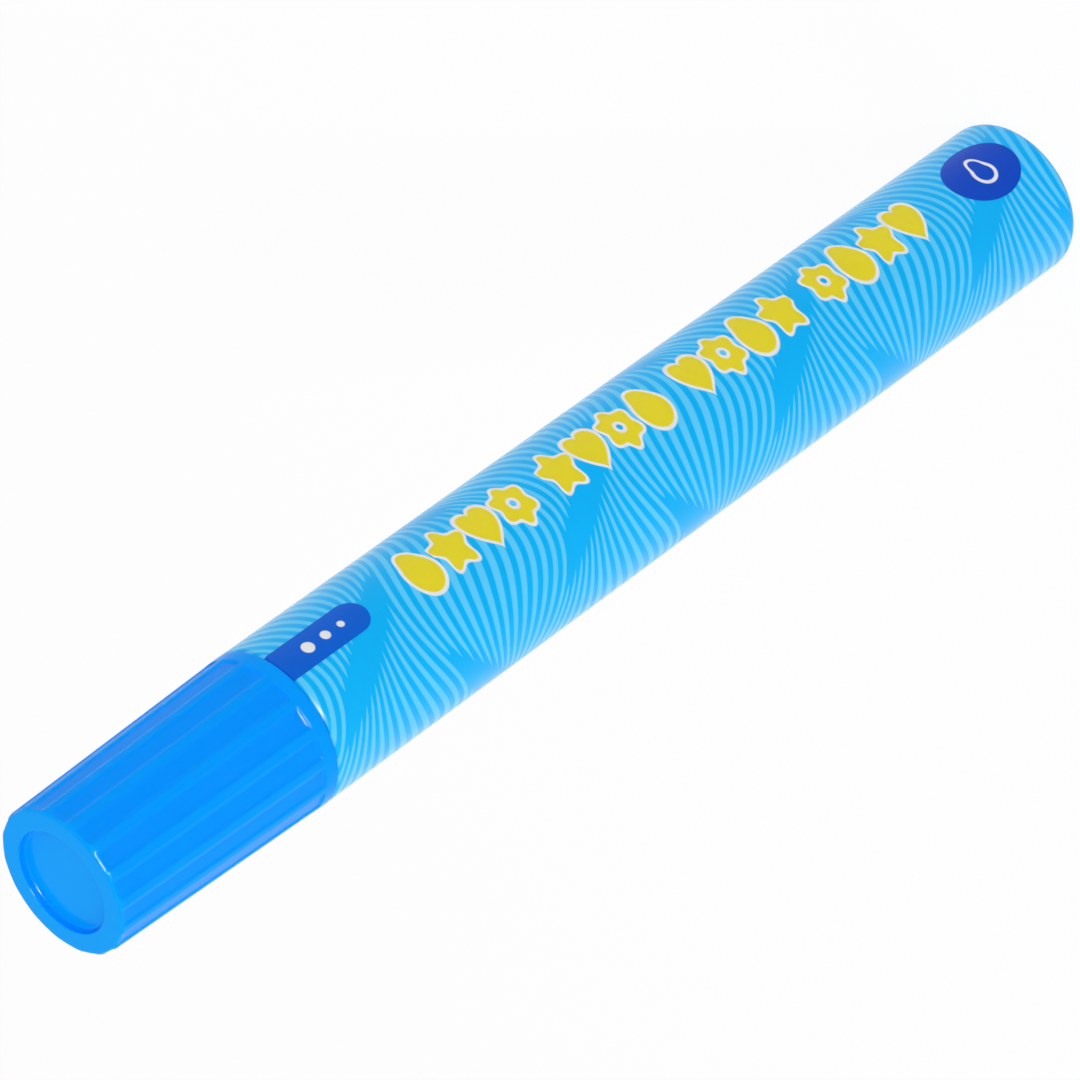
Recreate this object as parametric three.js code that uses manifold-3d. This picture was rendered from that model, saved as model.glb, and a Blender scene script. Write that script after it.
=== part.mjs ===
// Liquid glue tube with a sponge applicator and a push-on cap.
// Millimetres, +Z up along the tube, origin at the centre of the base it stands on.
import * as THREE from "three";
import { mergeVertices } from "three/addons/utils/BufferGeometryUtils.js";
import Module from "manifold-3d";

const wasm = await Module();
wasm.setup();

// Barrel: a moulded bottle, one diameter from the base to the shoulder
const TUBE_DIAMETER = 23.5;
const BARREL_LENGTH = 154.4;
const BARREL_WALL = 1.0;
const BASE_THICKNESS = 1.4;
const BASE_EDGE_RADIUS = 1.2;
const BASE_RING_WIDTH = 2.6;
const BASE_RECESS_DEPTH = 0.7;
const INNER_CORNER_RADIUS = 1.5;
const SHOULDER_THICKNESS = 1.2;
const SHOULDER_EDGE_RADIUS = 0.6;
const SHOULDER_SLOPE = 2.1;
const NECK_HEIGHT = 9;
const NECK_WALL = 1.2;
const NECK_CHAMFER = 0.4;

// Printed sleeve: a film shrunk onto the barrel and turned a little over both of its edges
const SLEEVE_THICKNESS = 0.12;
const SLEEVE_GAP = 0.05;
const SLEEVE_TURN_DEGREES = 65;

// Glue, filled to this height below the inside of the shoulder
const HEADSPACE = 7;

// Applicator: a plug pressed into the neck, with a sponge, its net and the ring that holds the net
const PLUG_DEPTH = 8;
const PLUG_WALL = 1.1;
const PLUG_LEAD_IN = 0.4;
const FLANGE_THICKNESS = 1.4;
const SOCKET_HEIGHT = 4.5;
const SOCKET_WALL = 0.8;
const FEED_HOLE_DIAMETER = 1.8;
const FEED_HOLE_COUNT = 6;
const FEED_CIRCLE_DIAMETER = 8.4;
const PAD_SIDE_HEIGHT = 1.6;
const PAD_DOME_HEIGHT = 6.8;
const NET_THICKNESS = 0.25;
const RING_WALL = 0.9;
const RING_HEIGHT = 3.2;
const RING_CHAMFER = 0.25;

// Cap: a fluted, tapering shell with a thin sealing cup inside it
const CAP_LENGTH = 38.6;
const CAP_OVERSIZE = 0.1;
const CAP_DRAFT = 1.0;
const CAP_WALL = 1.5;
const CAP_END_WALL = 1.3;
const CAP_END_EDGE_RADIUS = 1.1;
const CAP_MOUTH_EDGE_RADIUS = 0.3;
const COLLAR_WIDTH = 2.0;
const PANEL_COUNT = 16;
const PANEL_DEPTH = 0.22;
const PANEL_PHASE_DEGREES = 6;
const RIB_WIDTH = 1.2;
const END_RECESS_DIAMETER = 15.1;
const END_RECESS_DEPTH = 1.2;
const END_RECESS_EDGE_RADIUS = 0.35;
const END_RECESS_FLOOR_RADIUS = 0.6;
const CUP_WALL = 0.6;
const CUP_END_WALL = 1.0;
const CUP_LIP_HEIGHT = 1.2;
const CUP_LIP_DEPTH = 0.25;

// Snap fit: one bead round the neck and one inside the cap, just below it when the cap is on
const SNAP_SPACE = 0.6;
const SNAP_CLEARANCE = 0.06;
const SNAP_BEAD_WIDTH = 1.0;
const SNAP_CREST_WIDTH = 0.35;
const SNAP_BEAD_HEIGHT_ON_NECK = 4.6;
const SNAP_BEAD_OFFSET = 1.4;

// Clearances: pressed or wrapped surfaces, stacked faces and pieces that slide past each other
const PRESS_GAP = 0.1;
const SEAT_GAP = 0.3;
const RUNNING_GAP = 0.2;

// Facets
const SEGMENTS = 48;
const ARC_STEPS = 3;
const DOME_STEPS = 6;
const HOLE_SEGMENTS = 12;

// Radii, from the outside in
const tubeRadius = TUBE_DIAMETER / 2;
const barrelRadius = tubeRadius - SLEEVE_THICKNESS - SLEEVE_GAP;
const barrelBore = barrelRadius - BARREL_WALL;
const capMouthRadius = tubeRadius + CAP_OVERSIZE / 2;
const socketBore = capMouthRadius - CAP_WALL;
const neckRadius = socketBore - SNAP_SPACE;
const neckBore = neckRadius - NECK_WALL;
const snapBeadDepth = (SNAP_SPACE - SNAP_CLEARANCE) / 2;
const plugRadius = neckBore - PRESS_GAP;
const plugBore = plugRadius - PLUG_WALL;

// Heights, from the base up
const shoulderZ = BARREL_LENGTH;
const shoulderInsideZ = shoulderZ - SHOULDER_THICKNESS - SHOULDER_SLOPE;
const neckTopZ = shoulderZ + NECK_HEIGHT;
const flangeZ = neckTopZ + SEAT_GAP;
const socketFloorZ = flangeZ + FLANGE_THICKNESS;
const socketTopZ = socketFloorZ + SOCKET_HEIGHT;
const padZ = socketTopZ + SEAT_GAP;
const domeZ = padZ + PAD_SIDE_HEIGHT;
const capMouthZ = shoulderZ + SEAT_GAP;
const capEndZ = capMouthZ + CAP_LENGTH;
const capCeilingZ = capEndZ - END_RECESS_DEPTH - CAP_END_WALL;
const cupLipZ = socketFloorZ + SEAT_GAP;
const cupEndZ = capCeilingZ - SEAT_GAP;

// The cap narrows evenly from its mouth to its end, and its walls follow that taper
const capRadiusAt = (z) => capMouthRadius - (CAP_DRAFT * (z - capMouthZ)) / CAP_LENGTH;
const capBoreAt = (z) => capRadiusAt(z) - CAP_WALL;
const cupRadiusAt = (z) => capBoreAt(z) - PRESS_GAP;
const cupBoreAt = (z) => cupRadiusAt(z) - CUP_WALL;

// The applicator head is sized from the lip of the cup that slides over it
const cupLipBore = cupBoreAt(cupLipZ) - CUP_LIP_DEPTH;
const ringRadius = cupLipBore - RUNNING_GAP;
const ringBore = ringRadius - RING_WALL;
const netRadius = ringBore - PRESS_GAP;
const netBore = netRadius - NET_THICKNESS;
const padRadius = netBore - PRESS_GAP;
const socketRadius = padRadius;
const stemRadius = socketRadius - SOCKET_WALL - PRESS_GAP;

// Points along an ellipse's arc, as radius and height, between two angles in degrees
function arc(centreRadius, centreZ, across, up, fromDegrees, toDegrees, steps = ARC_STEPS) {
  return Array.from({ length: steps + 1 }, (_, i) => {
    const angle = THREE.MathUtils.degToRad(fromDegrees + ((toDegrees - fromDegrees) * i) / steps);
    return [centreRadius + across * Math.cos(angle), centreZ + up * Math.sin(angle)];
  });
}

// A round bead across a wall of the given radius, standing out of it by depth (or into the bore)
function bead(wallRadius, centreZ, depth) {
  const foot = SNAP_BEAD_WIDTH / 2;
  const crest = SNAP_CREST_WIDTH / 2;
  return [
    [wallRadius, centreZ - foot],
    [wallRadius + depth, centreZ - crest],
    [wallRadius + depth, centreZ + crest],
    [wallRadius, centreZ + foot],
  ];
}

// A solid turned about +Z from a profile of radius and height that starts and ends on the axis
function turned(profile) {
  const points = profile.map(([radius, z]) => new THREE.Vector2(radius, z));
  return new THREE.LatheGeometry(points, SEGMENTS).rotateX(Math.PI / 2);
}

// The same for a ring, whose profile is closed by its first point
const turnedRing = (profile) => turned([...profile, profile[0]]);

function solidOf(geometry) {
  const bare = geometry.clone();
  bare.deleteAttribute("normal");
  bare.deleteAttribute("uv");
  const merged = mergeVertices(bare, 1e-4);
  return new wasm.Manifold(
    new wasm.Mesh({
      numProp: 3,
      vertProperties: new Float32Array(merged.attributes.position.array),
      triVerts: new Uint32Array(merged.index.array),
    }),
  );
}

function geometryOf(solid) {
  const mesh = solid.getMesh();
  const geometry = new THREE.BufferGeometry();
  geometry.setAttribute("position", new THREE.BufferAttribute(mesh.vertProperties, 3));
  geometry.setIndex(new THREE.BufferAttribute(mesh.triVerts, 1));
  geometry.computeVertexNormals();
  return geometry;
}

const cut = (body, cutters) =>
  geometryOf(cutters.reduce((solid, cutter) => solid.subtract(solidOf(cutter)), solidOf(body)));

function piece(name, geometry, color, roughness, transparency = {}) {
  const material = new THREE.MeshStandardMaterial({ color, roughness, metalness: 0, ...transparency });
  const mesh = new THREE.Mesh(geometry, material);
  mesh.name = name;
  return mesh;
}

// Barrel, shoulder and neck in one moulding, with a shallow recess under the base
function tubeBody() {
  const sleeveSpace = SLEEVE_THICKNESS + SLEEVE_GAP;
  const ringOuter = tubeRadius - BASE_EDGE_RADIUS;
  const ringInner = ringOuter - BASE_RING_WIDTH;
  const baseEdge = BASE_EDGE_RADIUS - sleeveSpace;
  const innerCorner = INNER_CORNER_RADIUS;
  const floorZ = BASE_THICKNESS;
  const profile = [
    [0, BASE_RECESS_DEPTH],
    [ringInner - BASE_RECESS_DEPTH, BASE_RECESS_DEPTH],
    [ringInner, 0],
    [ringOuter, 0],
    ...arc(ringOuter, BASE_EDGE_RADIUS, baseEdge, baseEdge, -90, 0),
    ...arc(
      barrelRadius - SHOULDER_EDGE_RADIUS,
      shoulderZ - SHOULDER_EDGE_RADIUS,
      SHOULDER_EDGE_RADIUS,
      SHOULDER_EDGE_RADIUS,
      0,
      90,
    ),
    [neckRadius, shoulderZ],
    ...bead(neckRadius, shoulderZ + SNAP_BEAD_HEIGHT_ON_NECK, snapBeadDepth),
    [neckRadius, neckTopZ - NECK_CHAMFER],
    [neckRadius - NECK_CHAMFER, neckTopZ],
    [neckBore, neckTopZ],
    [neckBore, shoulderZ - SHOULDER_THICKNESS],
    [barrelBore, shoulderInsideZ],
    ...arc(barrelBore - innerCorner, floorZ + innerCorner, innerCorner, innerCorner, 0, -90),
    [0, floorZ],
  ];
  return piece("tube_body", turned(profile), 0x1a9fee, 0.35);
}

// The film follows the barrel and ends part of the way round its two edges
function printedSleeve() {
  const outerBase = BASE_EDGE_RADIUS;
  const innerBase = BASE_EDGE_RADIUS - SLEEVE_THICKNESS;
  const innerTop = SHOULDER_EDGE_RADIUS + SLEEVE_GAP;
  const outerTop = innerTop + SLEEVE_THICKNESS;
  const baseCentre = [tubeRadius - BASE_EDGE_RADIUS, BASE_EDGE_RADIUS];
  const topCentre = [barrelRadius - SHOULDER_EDGE_RADIUS, shoulderZ - SHOULDER_EDGE_RADIUS];
  const turn = SLEEVE_TURN_DEGREES;
  const profile = [
    ...arc(...baseCentre, outerBase, outerBase, -turn, 0),
    ...arc(...topCentre, outerTop, outerTop, 0, turn),
    ...arc(...topCentre, innerTop, innerTop, turn, 0),
    ...arc(...baseCentre, innerBase, innerBase, 0, -turn),
  ];
  return piece("printed_sleeve", turnedRing(profile), 0x02b1f6, 0.22);
}

function glueFill() {
  const radius = barrelBore - PRESS_GAP;
  const floorZ = BASE_THICKNESS + PRESS_GAP;
  const corner = INNER_CORNER_RADIUS;
  const profile = [
    [0, floorZ],
    ...arc(radius - corner, floorZ + corner, corner, corner, -90, 0),
    [radius, shoulderInsideZ - HEADSPACE],
    [0, shoulderInsideZ - HEADSPACE],
  ];
  return piece("glue_fill", turned(profile), 0xf2efe4, 0.15, { transparent: true, opacity: 0.85 });
}

// A skirt pressed into the neck, a flange on its top, a drilled web and the socket for the sponge
function feedPlug() {
  const skirtZ = neckTopZ - PLUG_DEPTH;
  const body = turned([
    [0, flangeZ],
    [plugBore, flangeZ],
    [plugBore, skirtZ],
    [plugRadius - PLUG_LEAD_IN, skirtZ],
    [plugRadius, skirtZ + PLUG_LEAD_IN],
    [plugRadius, flangeZ],
    [neckRadius, flangeZ],
    [neckRadius, socketFloorZ],
    [socketRadius, socketFloorZ],
    [socketRadius, socketTopZ],
    [socketRadius - SOCKET_WALL, socketTopZ],
    [socketRadius - SOCKET_WALL, socketFloorZ],
    [0, socketFloorZ],
  ]);
  const radius = FEED_HOLE_DIAMETER / 2;
  const hole = () =>
    new THREE.CylinderGeometry(radius, radius, 2 * FLANGE_THICKNESS, HOLE_SEGMENTS)
      .rotateX(Math.PI / 2)
      .translate(0, 0, flangeZ + FLANGE_THICKNESS / 2);
  const ringOfHoles = Array.from({ length: FEED_HOLE_COUNT }, (_, i) =>
    hole()
      .translate(FEED_CIRCLE_DIAMETER / 2, 0, 0)
      .rotateZ((2 * Math.PI * i) / FEED_HOLE_COUNT),
  );
  return piece("feed_plug", cut(body, [hole(), ...ringOfHoles]), 0xf4f4f0, 0.4);
}

// A foam stem in the socket that widens to a domed pad above it
function spongeTip() {
  const profile = [
    [0, socketFloorZ + SEAT_GAP],
    [stemRadius, socketFloorZ + SEAT_GAP],
    [stemRadius, padZ],
    [padRadius, padZ],
    ...arc(0, domeZ, padRadius, PAD_DOME_HEIGHT, 0, 90, DOME_STEPS),
  ];
  return piece("sponge_tip", turned(profile), 0xf3ead2, 0.95);
}

// A thin net drawn over the pad, with its hem down the outside of the socket
function netCover() {
  const hemZ = socketFloorZ + SEAT_GAP;
  const innerDome = PAD_DOME_HEIGHT + PRESS_GAP;
  const profile = [
    ...arc(0, domeZ, netBore, innerDome, 90, 0, DOME_STEPS),
    [netBore, hemZ],
    [netRadius, hemZ],
    ...arc(0, domeZ, netRadius, innerDome + NET_THICKNESS, 0, 90, DOME_STEPS),
  ];
  return piece("net_cover", turned(profile), 0xfafaf6, 0.8);
}

function clampRing() {
  const bottomZ = socketFloorZ + SEAT_GAP;
  const topZ = bottomZ + RING_HEIGHT;
  const profile = [
    [ringBore, bottomZ],
    [ringRadius, bottomZ],
    [ringRadius, topZ - RING_CHAMFER],
    [ringRadius - RING_CHAMFER, topZ],
    [ringBore, topZ],
  ];
  return piece("clamp_ring", turnedRing(profile), 0xf4f4f0, 0.35);
}

// A thin cup pressed into the cap, whose lip closes on the plug's flange round the applicator
function sealingCup() {
  const lipTopZ = cupLipZ + CUP_LIP_HEIGHT;
  const ceilingZ = cupEndZ - CUP_END_WALL;
  const profile = [
    [0, ceilingZ],
    [cupBoreAt(ceilingZ), ceilingZ],
    [cupBoreAt(lipTopZ), lipTopZ],
    [cupLipBore, lipTopZ - CUP_LIP_DEPTH],
    [cupLipBore, cupLipZ],
    [cupRadiusAt(cupLipZ), cupLipZ],
    [cupRadiusAt(cupEndZ), cupEndZ],
    [0, cupEndZ],
  ];
  return piece("sealing_cup", turned(profile), 0xf6f6f2, 0.4);
}

// One flat, shallow panel of the cap: it starts square at the collar, tapers with the cap and runs
// out through the rounded rim, so the cutter reaches past the cap's end
function panelCutter(index) {
  const nearZ = capMouthZ + COLLAR_WIDTH;
  const farZ = capEndZ + CAP_END_EDGE_RADIUS;
  const halfWidthAt = (z) => (capRadiusAt(z) * Math.PI) / PANEL_COUNT - RIB_WIDTH / 2;
  const floorAt = (z) => Math.sqrt(capRadiusAt(z) ** 2 - halfWidthAt(z) ** 2) - PANEL_DEPTH;
  const tilt = Math.atan2(floorAt(nearZ) - floorAt(farZ), farZ - nearZ);
  const length = Math.hypot(farZ - nearZ, floorAt(nearZ) - floorAt(farZ));
  const near = halfWidthAt(nearZ);
  const far = halfWidthAt(farZ);
  const outline = new THREE.Shape()
    .moveTo(-near, 0)
    .lineTo(near, 0)
    .lineTo(far, length)
    .lineTo(-far, length);
  const phase = THREE.MathUtils.degToRad(PANEL_PHASE_DEGREES) - Math.PI / 2;
  const angle = phase + (2 * Math.PI * (index + 0.5)) / PANEL_COUNT;
  const radial = new THREE.Vector3(Math.cos(angle), Math.sin(angle), 0);
  const across = new THREE.Vector3(-Math.sin(angle), Math.cos(angle), 0);
  const outward = radial.clone().applyAxisAngle(across, -tilt);
  const along = new THREE.Vector3().crossVectors(outward, across);
  const start = radial.clone().multiplyScalar(floorAt(nearZ)).setZ(nearZ);
  const placed = new THREE.Matrix4().makeBasis(across, along, outward).setPosition(start);
  return new THREE.ExtrudeGeometry(outline, { depth: CAP_WALL, bevelEnabled: false }).applyMatrix4(placed);
}

// The fluted shell: a plain collar, flat panels between slim ribs out to the rounded rim, a dished end
function capShell() {
  const boreStepZ = socketFloorZ;
  const recessRadius = END_RECESS_DIAMETER / 2;
  const recessFloorZ = capEndZ - END_RECESS_DEPTH;
  const lip = END_RECESS_EDGE_RADIUS;
  const floorFillet = END_RECESS_FLOOR_RADIUS;
  const mouthEdge = CAP_MOUTH_EDGE_RADIUS;
  const endEdge = CAP_END_EDGE_RADIUS;
  const shoulderCeilingZ = capEndZ - CAP_END_WALL;
  const stepRadius = recessRadius + CAP_END_WALL / 2;
  const profile = [
    [0, capCeilingZ],
    [stepRadius, capCeilingZ],
    [stepRadius, shoulderCeilingZ],
    [capBoreAt(shoulderCeilingZ), shoulderCeilingZ],
    [capBoreAt(boreStepZ), boreStepZ],
    [socketBore, boreStepZ],
    ...bead(socketBore, shoulderZ + SNAP_BEAD_HEIGHT_ON_NECK - SNAP_BEAD_OFFSET, -snapBeadDepth).reverse(),
    [socketBore, capMouthZ],
    ...arc(capMouthRadius - mouthEdge, capMouthZ + mouthEdge, mouthEdge, mouthEdge, -90, 0),
    ...arc(capRadiusAt(capEndZ) - endEdge, capEndZ - endEdge, endEdge, endEdge, 0, 90),
    ...arc(recessRadius + lip, capEndZ - lip, lip, lip, 90, 180),
    ...arc(recessRadius - floorFillet, recessFloorZ + floorFillet, floorFillet, floorFillet, 0, -90),
    [0, recessFloorZ],
  ];
  const panels = Array.from({ length: PANEL_COUNT }, (_, index) => panelCutter(index));
  return piece("cap_shell", cut(turned(profile), panels), 0x0094fe, 0.25);
}

const glueTube = new THREE.Group();
const tube = new THREE.Group();
tube.add(tubeBody(), printedSleeve(), glueFill(), feedPlug(), spongeTip(), netCover(), clampRing());
const cap = new THREE.Group();
cap.add(capShell(), sealingCup());
glueTube.add(tube, cap);

export default glueTube;
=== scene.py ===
import math

import bmesh
import bpy
from mathutils import Matrix, Vector, noise


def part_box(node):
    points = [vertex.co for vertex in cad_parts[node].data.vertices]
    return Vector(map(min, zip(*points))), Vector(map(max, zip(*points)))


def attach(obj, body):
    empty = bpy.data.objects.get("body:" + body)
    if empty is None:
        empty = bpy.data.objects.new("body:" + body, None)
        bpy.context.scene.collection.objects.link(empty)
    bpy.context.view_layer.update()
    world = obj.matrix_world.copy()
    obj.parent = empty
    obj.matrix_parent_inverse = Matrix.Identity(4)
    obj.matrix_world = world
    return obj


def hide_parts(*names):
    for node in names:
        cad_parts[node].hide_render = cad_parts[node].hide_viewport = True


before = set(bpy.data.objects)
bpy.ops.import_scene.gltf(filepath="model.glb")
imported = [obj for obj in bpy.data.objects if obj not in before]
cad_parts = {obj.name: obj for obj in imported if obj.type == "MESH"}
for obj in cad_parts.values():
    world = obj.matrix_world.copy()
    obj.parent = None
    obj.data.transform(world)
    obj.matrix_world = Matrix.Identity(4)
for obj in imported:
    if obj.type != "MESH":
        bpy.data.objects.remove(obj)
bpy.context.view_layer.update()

# The bottle is one blow-moulded piece of blue polypropylene: barrel, shallow dished base,
# shoulder and neck. The neck carries the bead that the cap clicks over. It is turned here
# from its profile, whose corners are given as radius, height and rounding in millimetres.
MM = 0.001


def extent(node):
    """A CAD node's radius, lowest point and highest point, to a hundredth of a millimetre."""
    low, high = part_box(node)
    return tuple(round(value / MM, 2) for value in (high.x, low.z, high.z))


BARREL_RADIUS, _, NECK_TOP = extent("tube_body")
CAP_RADIUS, CAP_MOUTH, CAP_END = extent("cap_shell")
SEAT_GAP = 0.3
SHOULDER = CAP_MOUTH - SEAT_GAP
BARREL_WALL, BASE_THICKNESS, FILM_SPACE = 1.0, 1.4, 0.17
BASE_EDGE, BASE_RING_WIDTH, RECESS_DEPTH = 1.03, 2.6, 0.7
SHOULDER_THICKNESS, SHOULDER_SLOPE, SHOULDER_EDGE = 1.2, 2.1, 0.6
NECK_RADIUS, NECK_BORE = 9.7, 8.5
NECK_BEAD = SHOULDER + 4.6
BEAD_DEPTH, HALF_BEAD, HALF_CREST = 0.27, 0.5, 0.175


def snap_bead(radius, height, depth):
    """The corners of a bead across a wall, from its lower foot to its upper one."""
    return [(radius, height - HALF_BEAD, 0.2), (radius + depth, height - HALF_CREST, 0.15),
            (radius + depth, height + HALF_CREST, 0.15), (radius, height + HALF_BEAD, 0.2)]


def rounded(corners, closed=False, arc_steps=5, hold=0.18):
    """Rounds the corners of a profile and holds each curve with a point just beyond its ends."""
    path = []
    count = len(corners)
    for index, (radius, height, rounding) in enumerate(corners):
        here = Vector((radius, height))
        end = not closed and index in (0, count - 1)
        if end or rounding == 0:
            path.append(here)
            continue
        before = Vector(corners[index - 1][:2]) - here
        after = Vector(corners[(index + 1) % count][:2]) - here
        half = before.angle(after) / 2
        reach = min(rounding / math.tan(half), 0.49 * before.length, 0.49 * after.length)
        into, out = before.normalized(), after.normalized()
        middle = here + (into + out).normalized() * reach / math.cos(half)
        first, last = here + into * reach - middle, here + out * reach - middle
        if before.length > 2 * (reach + hold):
            path.append(here + into * (reach + hold))
        turn_by = first.angle_signed(last)
        for step in range(arc_steps + 1):
            spoke = first.copy()
            spoke.rotate(Matrix.Rotation(-turn_by * step / arc_steps, 2))
            path.append(middle + spoke)
        if after.length > 2 * (reach + hold):
            path.append(here + out * (reach + hold))
    return path


def finished(name, bm):
    """An object at the origin, made of a bmesh that is ready."""
    mesh = bpy.data.meshes.new(name)
    bm.to_mesh(mesh)
    bm.free()
    piece = bpy.data.objects.new(name, mesh)
    bpy.context.scene.collection.objects.link(piece)
    return piece


def turned(name, path, steps=128, closed=False, doublings=3):
    """Spins a profile through a sector and doubles that until it closes about the tube's axis."""
    bm = bmesh.new()
    rim = [bm.verts.new((point[0] * MM, 0, point[1] * MM)) for point in path]
    edges = [bm.edges.new(pair) for pair in zip(rim, rim[1:])]
    if closed:
        edges.append(bm.edges.new((rim[-1], rim[0])))
    sector = math.tau / 2 ** doublings
    bmesh.ops.spin(bm, geom=rim + edges, cent=(0, 0, 0), axis=(0, 0, 1),
                   angle=sector, steps=steps // 2 ** doublings)
    for doubling in range(doublings):
        copy = bmesh.ops.duplicate(bm, geom=bm.verts[:] + bm.edges[:] + bm.faces[:])["geom"]
        points = [part for part in copy if isinstance(part, bmesh.types.BMVert)]
        bmesh.ops.rotate(bm, cent=(0, 0, 0), verts=points,
                         matrix=Matrix.Rotation(sector * 2 ** doubling, 3, "Z"))
    bmesh.ops.remove_doubles(bm, verts=bm.verts, dist=1e-6)
    bmesh.ops.recalc_face_normals(bm, faces=bm.faces)
    piece = finished(name, bm)
    piece.data.shade_smooth()
    return piece


def linear(red, green, blue):
    """A colour as read on a screen, 0 to 255, in the values that the shader mixes."""
    shares = [value / 255 for value in (red, green, blue)]
    return tuple(((s + 0.055) / 1.055) ** 2.4 if s > 0.04045 else s / 12.92 for s in shares) + (1.0,)


class Number:
    """A number in a shader tree. Sums, products and comparisons add maths nodes to the tree."""

    def __init__(self, tree, socket):
        self.tree, self.socket = tree, socket

    def then(self, operation, *others):
        """What a maths node makes of this number and any others."""
        return maths(self.tree, operation, self, *others)

    def __add__(self, other):
        return self.then("ADD", other)

    def __sub__(self, other):
        return self.then("SUBTRACT", other)

    def __rsub__(self, other):
        return maths(self.tree, "SUBTRACT", other, self)

    def __mul__(self, other):
        return self.then("MULTIPLY", other)

    def __truediv__(self, other):
        return self.then("DIVIDE", other)

    def __gt__(self, other):
        return self.then("GREATER_THAN", other)

    def __lt__(self, other):
        return self.then("LESS_THAN", other)

    def __abs__(self):
        return self.then("ABSOLUTE")

    __radd__ = __add__


def feed(tree, value, socket):
    """Links a number or a node's output to a socket, or sets the socket to a plain value."""
    value = value.socket if isinstance(value, Number) else value
    if isinstance(value, bpy.types.NodeSocket):
        tree.links.new(value, socket)
    else:
        socket.default_value = value


def maths(tree, operation, *values):
    """What a new maths node makes of the values."""
    node = tree.nodes.new("ShaderNodeMath")
    node.operation = operation
    for value, socket in zip(values, node.inputs):
        feed(tree, value, socket)
    return Number(tree, node.outputs[0])


def group(name, inputs, outputs):
    """A node group with its sockets, as (tree, its input node, its output node)."""
    tree = bpy.data.node_groups.new(name, "ShaderNodeTree")
    for label, kind, value in inputs:
        socket = tree.interface.new_socket(label, in_out="INPUT", socket_type=kind)
        socket.default_value = value
    for label, kind in outputs:
        tree.interface.new_socket(label, in_out="OUTPUT", socket_type=kind)
    return tree, tree.nodes.new("NodeGroupInput"), tree.nodes.new("NodeGroupOutput")


def unevenness(tree, scale, detail):
    """Noise of a scale over the piece's own coordinates, from 0 to 1 and mostly near 0.5."""
    texture = tree.nodes.new("ShaderNodeTexNoise")
    tree.links.new(tree.nodes.new("ShaderNodeTexCoord").outputs["Object"], texture.inputs["Vector"])
    texture.inputs["Scale"].default_value = scale
    texture.inputs["Detail"].default_value = detail
    return Number(tree, texture.outputs["Fac"])


def moulded_group():
    """Moulded plastic: a faint unevenness of tone, gloss and level over the surface."""
    tree, given, made = group(
        "moulded plastic",
        [("Colour", "NodeSocketColor", (0.8, 0.8, 0.8, 1)), ("Tone change", "NodeSocketFloat", 0.06),
         ("Roughness", "NodeSocketFloat", 0.3)],
        [("Colour", "NodeSocketColor"), ("Roughness", "NodeSocketFloat"), ("Level", "NodeSocketFloat")])
    clouds = unevenness(tree, scale=70.0, detail=3.0)
    rubs = unevenness(tree, scale=160.0, detail=4.0)
    grain = unevenness(tree, scale=900.0, detail=2.0)
    rub_change, rub_middle, least_roughness, grain_share = 0.22, 0.45, 0.05, 0.12
    shade = tree.nodes.new("ShaderNodeHueSaturation")
    feed(tree, given.outputs["Colour"], shade.inputs["Color"])
    feed(tree, (clouds - 0.5) * given.outputs["Tone change"] + 1.0, shade.inputs["Value"])
    feed(tree, shade.outputs["Color"], made.inputs["Colour"])
    roughness = Number(tree, given.outputs["Roughness"]) + (rubs - rub_middle) * rub_change
    feed(tree, roughness.then("MAXIMUM", least_roughness), made.inputs["Roughness"])
    feed(tree, clouds + grain * grain_share, made.inputs["Level"])
    return tree


MOULDED = moulded_group()


def new_material(name, **sockets):
    """A material and its tree, with plain values for its shader's sockets given by name."""
    material = bpy.data.materials.new(name)
    material.use_nodes = True
    shader = material.node_tree.nodes["Principled BSDF"]
    for label, value in sockets.items():
        shader.inputs[label.replace("_", " ")].default_value = value
    return material, material.node_tree, shader


def relief(tree, level, distance, strength):
    """Raises and lowers the surface of a material by a level that changes over it."""
    bump = tree.nodes.new("ShaderNodeBump")
    feed(tree, level, bump.inputs["Height"])
    bump.inputs["Distance"].default_value = distance
    bump.inputs["Strength"].default_value = strength
    tree.links.new(bump.outputs["Normal"], tree.nodes["Principled BSDF"].inputs["Normal"])


def plastic(name, colour, roughness, bump, tone=0.06, **sockets):
    """A moulded plastic. Its colour is a plain one, or a function that draws one in its tree."""
    material, tree, shader = new_material(name, **sockets)
    made = tree.nodes.new("ShaderNodeGroup")
    made.node_tree = MOULDED
    feed(tree, colour(tree) if callable(colour) else colour, made.inputs["Colour"])
    made.inputs["Tone change"].default_value = tone
    made.inputs["Roughness"].default_value = roughness
    tree.links.new(made.outputs["Colour"], shader.inputs["Base Color"])
    tree.links.new(made.outputs["Roughness"], shader.inputs["Roughness"])
    relief(tree, made.outputs["Level"], 0.4 * MM, bump)
    return material


def dress(piece, material, body, node):
    """Gives a piece its material and its body, and hides the CAD node that it stands for."""
    piece.data.materials.append(material)
    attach(piece, body)
    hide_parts(node)


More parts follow.
